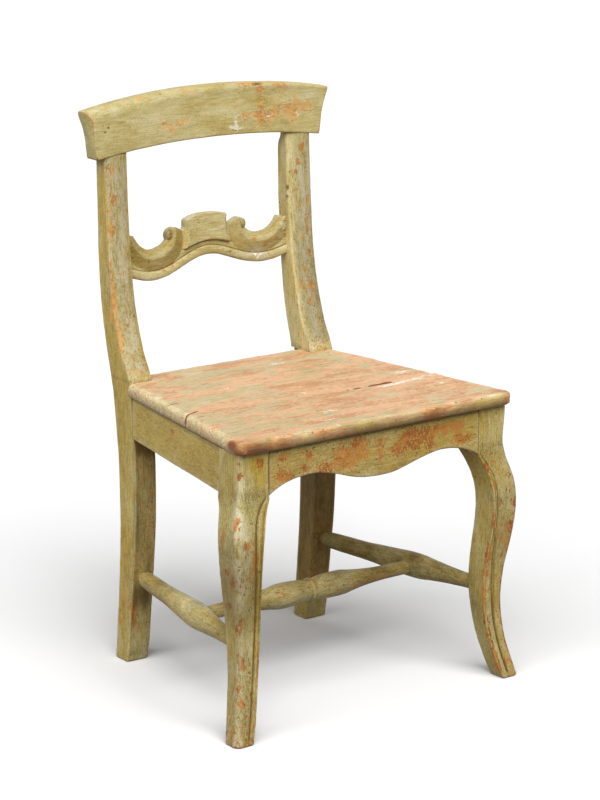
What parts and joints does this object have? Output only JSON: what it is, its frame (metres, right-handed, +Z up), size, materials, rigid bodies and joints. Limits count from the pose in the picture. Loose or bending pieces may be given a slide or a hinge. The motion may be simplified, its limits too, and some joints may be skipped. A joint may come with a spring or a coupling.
{
  "type": "painted country side chair",
  "caption": "Painted country side chair with cabriole front legs, two-board seat, carved back rail, arched crest rail and H stretcher.",
  "frame": {"origin": "on the floor, under the middle of the chair's bounding box", "axes": "+Z up, +X to the sitter's left-hand side seen from the front (image right), the chair faces -Y and its back is at +Y"},
  "size_m": [0.529, 0.468, 0.8775],
  "materials": {
    "painted_wood": "worn sage green distemper over a red-brown ground",
    "worn_seat_wood": "green paint worn to salmon bare wood",
    "bare_wood": "unpainted aged softwood"
  },
  "bodies": {
    "root": {"left_front_leg": "painted_wood", "right_front_leg": "painted_wood", "left_back_post": "painted_wood", "right_back_post": "painted_wood", "front_apron": "painted_wood", "rear_seat_rail": "painted_wood", "left_side_rail": "painted_wood", "right_side_rail": "painted_wood", "seat_front_board": "worn_seat_wood", "seat_rear_board": "worn_seat_wood", "crest_rail": "painted_wood", "carved_back_rail": "painted_wood", "left_side_stretcher": "painted_wood", "right_side_stretcher": "painted_wood", "cross_stretcher": "painted_wood", "front_seat_block": "bare_wood", "rear_seat_block": "bare_wood", "left_seat_block": "bare_wood", "right_seat_block": "bare_wood"}
  },
  "joints": []
}
